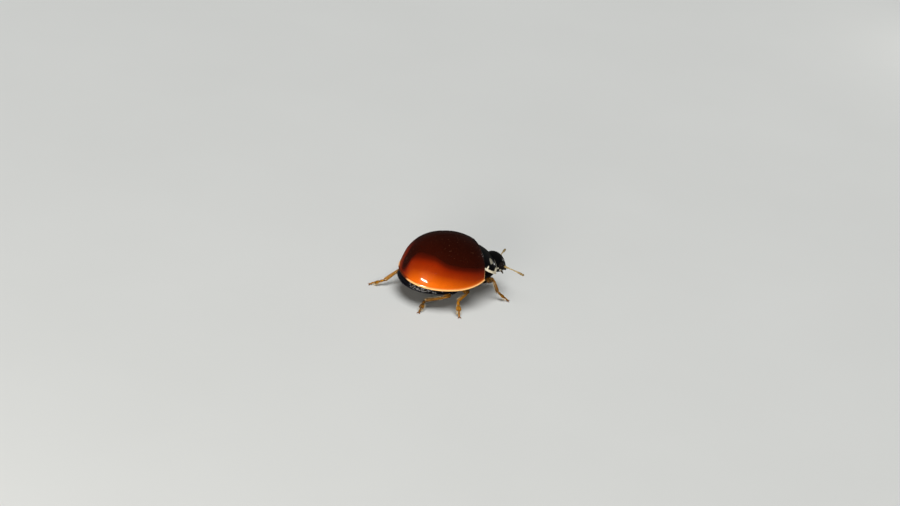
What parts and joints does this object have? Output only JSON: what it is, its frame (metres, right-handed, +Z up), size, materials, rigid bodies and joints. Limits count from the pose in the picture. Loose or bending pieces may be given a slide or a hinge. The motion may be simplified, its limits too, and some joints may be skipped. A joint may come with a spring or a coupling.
{
  "type": "ladybird",
  "caption": "Life-size still model of a spotless polished ladybird in its walking stance, with domed wing cases, pronotum, head, feelers and legs.",
  "frame": {"origin": "on the floor that the feet stand on, under the middle of the whole animal's box", "axes": "+X towards the head, +Y to the beetle's left, +Z up"},
  "size_m": [0.0074, 0.0058, 0.0033],
  "materials": {
    "elytra": "very glossy orange-red shell, yellower towards its rim",
    "pronotum": "glossy black with ivory front and side margins and hooked side marks",
    "head": "glossy black with small ivory spots beside the eyes",
    "black_cuticle": "glossy black cuticle",
    "underside": "satin black with a bluish sheen and short pale hairs",
    "eyes": "dark compound eyes of fine facets",
    "legs": "golden brown, semi-gloss, with short fine hairs",
    "feelers": "yellow-brown, darker at the club"
  },
  "bodies": {
    "root": {"elytron_left": "elytra", "elytron_right": "elytra", "scutellum": "black_cuticle", "abdomen": "underside", "thorax": "underside", "prothorax": "underside", "pronotum": "pronotum", "head": "head", "labrum": "head", "eye_left": "eyes", "eye_right": "eyes", "palp_left": "feelers", "palp_right": "feelers", "antenna_left": "feelers", "antenna_right": "feelers", "coxa_front_left": "legs", "femur_front_left": "legs", "tibia_front_left": "legs", "tarsus_front_left": "legs", "coxa_front_right": "legs", "femur_front_right": "legs", "tibia_front_right": "legs", "tarsus_front_right": "legs", "coxa_middle_left": "legs", "femur_middle_left": "legs", "tibia_middle_left": "legs", "tarsus_middle_left": "legs", "coxa_middle_right": "legs", "femur_middle_right": "legs", "tibia_middle_right": "legs", "tarsus_middle_right": "legs", "coxa_hind_left": "legs", "femur_hind_left": "legs", "tibia_hind_left": "legs", "tarsus_hind_left": "legs", "coxa_hind_right": "legs", "femur_hind_right": "legs", "tibia_hind_right": "legs", "tarsus_hind_right": "legs"}
  },
  "joints": []
}
